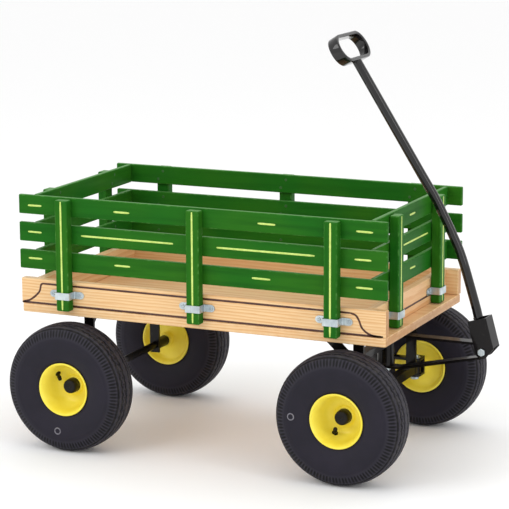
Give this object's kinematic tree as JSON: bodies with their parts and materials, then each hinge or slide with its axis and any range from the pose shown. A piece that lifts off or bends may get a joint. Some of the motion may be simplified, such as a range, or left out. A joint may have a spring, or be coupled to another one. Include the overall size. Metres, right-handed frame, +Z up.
{
  "type": "garden cart",
  "caption": "Pull-along garden cart with a wooden tray, lift-off green stake racks, kingpin steering, pneumatic wheels on steel rims and a folding loop-grip handle.",
  "frame": {"origin": "on the ground, under the middle of the cart's length and width", "axes": "+X to the front, where the tongue and handle are, +Y to the left side, +Z up"},
  "size_m": [0.9768, 0.554, 0.8639],
  "materials": {
    "pine_wood": "clear lacquered pine",
    "green_wood": "green paint, satin, with pale line decoration",
    "zinc_steel": "zinc plated",
    "black_steel": "gloss black powder coat",
    "yellow_steel": "gloss yellow enamel",
    "tyre_rubber": "ribbed rubber",
    "black_plastic": "moulded"
  },
  "bodies": {
    "cart": {"deck": "pine_wood", "left_side_board": "pine_wood", "right_side_board": "pine_wood", "front_board": "pine_wood", "rear_board": "pine_wood", "front_left_stake_strap": "zinc_steel", "front_right_stake_strap": "zinc_steel", "left_centre_stake_strap": "zinc_steel", "left_front_stake_strap": "zinc_steel", "left_rear_stake_strap": "zinc_steel", "rear_left_stake_strap": "zinc_steel", "rear_right_stake_strap": "zinc_steel", "right_centre_stake_strap": "zinc_steel", "right_front_stake_strap": "zinc_steel", "right_rear_stake_strap": "zinc_steel", "rear_axle_bracket": "black_steel", "rear_axle": "black_steel", "front_axle_bracket": "black_steel", "tongue_kingpin": "zinc_steel"},
    "tongue": {"tongue": "black_steel"},
    "tie_bar": {"tie_bar": "black_steel"},
    "left_knuckle": {"left_steering_knuckle": "black_steel"},
    "right_knuckle": {"right_steering_knuckle": "black_steel"},
    "handle": {"handle_clevis": "black_steel", "handle_bolt": "zinc_steel", "pull_handle": "black_steel"},
    "front_left_wheel": {"front_left_tyre": "tyre_rubber", "front_left_rim": "yellow_steel", "front_left_hub_cap": "black_plastic"},
    "front_right_wheel": {"front_right_tyre": "tyre_rubber", "front_right_rim": "yellow_steel", "front_right_hub_cap": "black_plastic"},
    "rear_left_wheel": {"rear_left_tyre": "tyre_rubber", "rear_left_rim": "yellow_steel", "rear_left_hub_cap": "black_plastic"},
    "rear_right_wheel": {"rear_right_tyre": "tyre_rubber", "rear_right_rim": "yellow_steel", "rear_right_hub_cap": "black_plastic"},
    "left_rack": {"left_rack_bottom_rail": "green_wood", "left_rack_centre_stake": "green_wood", "left_rack_front_stake": "green_wood", "left_rack_middle_rail": "green_wood", "left_rack_rear_stake": "green_wood", "left_rack_top_rail": "green_wood"},
    "right_rack": {"right_rack_bottom_rail": "green_wood", "right_rack_centre_stake": "green_wood", "right_rack_front_stake": "green_wood", "right_rack_middle_rail": "green_wood", "right_rack_rear_stake": "green_wood", "right_rack_top_rail": "green_wood"},
    "front_rack": {"front_rack_bottom_rail": "green_wood", "front_rack_left_stake": "green_wood", "front_rack_middle_rail": "green_wood", "front_rack_right_stake": "green_wood", "front_rack_top_rail": "green_wood"},
    "rear_rack": {"rear_rack_bottom_rail": "green_wood", "rear_rack_left_stake": "green_wood", "rear_rack_middle_rail": "green_wood", "rear_rack_right_stake": "green_wood", "rear_rack_top_rail": "green_wood"}
  },
  "joints": [
    {"name": "tongue_steer", "type": "hinge", "parent": "cart", "child": "tongue", "pos_m": [0.2516, 0, 0.218], "axis": [0, 0, 1], "range_deg": [-28, 28]},
    {"name": "left_knuckle_steer", "type": "hinge", "parent": "cart", "child": "left_knuckle", "pos_m": [0.2516, 0.172, 0.134], "axis": [0, 0, 1], "range_deg": [-28, 28]},
    {"name": "right_knuckle_steer", "type": "hinge", "parent": "cart", "child": "right_knuckle", "pos_m": [0.2516, -0.172, 0.134], "axis": [0, 0, 1], "range_deg": [-28, 28]},
    {"name": "tie_bar_swing", "type": "hinge", "parent": "tongue", "child": "tie_bar", "pos_m": [0.1896, 0, 0.1685], "axis": [0, 0, 1], "range_deg": [-28, 28]},
    {"name": "handle_fold", "type": "hinge", "parent": "tongue", "child": "handle", "pos_m": [0.4636, 0, 0.237], "axis": [0, 1, 0], "range_deg": [0, 120]},
    {"name": "front_left_wheel_spin", "type": "hinge", "parent": "left_knuckle", "child": "front_left_wheel", "pos_m": [0.2516, 0.236, 0.134], "axis": [0, 1, 0], "continuous": true},
    {"name": "front_right_wheel_spin", "type": "hinge", "parent": "right_knuckle", "child": "front_right_wheel", "pos_m": [0.2516, -0.236, 0.134], "axis": [0, 1, 0], "continuous": true},
    {"name": "rear_left_wheel_spin", "type": "hinge", "parent": "cart", "child": "rear_left_wheel", "pos_m": [-0.3544, 0.236, 0.134], "axis": [0, 1, 0], "continuous": true},
    {"name": "rear_right_wheel_spin", "type": "hinge", "parent": "cart", "child": "rear_right_wheel", "pos_m": [-0.3544, -0.236, 0.134], "axis": [0, 1, 0], "continuous": true},
    {"name": "left_rack_lift", "type": "slide", "parent": "cart", "child": "left_rack", "axis": [0, 0, 1], "range_m": [0, 0.045]},
    {"name": "right_rack_lift", "type": "slide", "parent": "cart", "child": "right_rack", "axis": [0, 0, 1], "range_m": [0, 0.045]},
    {"name": "front_rack_lift", "type": "slide", "parent": "cart", "child": "front_rack", "axis": [0, 0, 1], "range_m": [0, 0.045]},
    {"name": "rear_rack_lift", "type": "slide", "parent": "cart", "child": "rear_rack", "axis": [0, 0, 1], "range_m": [0, 0.045]}
  ],
  "couplings": [
    {"joint": "left_knuckle_steer", "follows": "tongue_steer", "ratio": 1},
    {"joint": "right_knuckle_steer", "follows": "tongue_steer", "ratio": 1},
    {"joint": "tie_bar_swing", "follows": "tongue_steer", "ratio": -1}
  ]
}
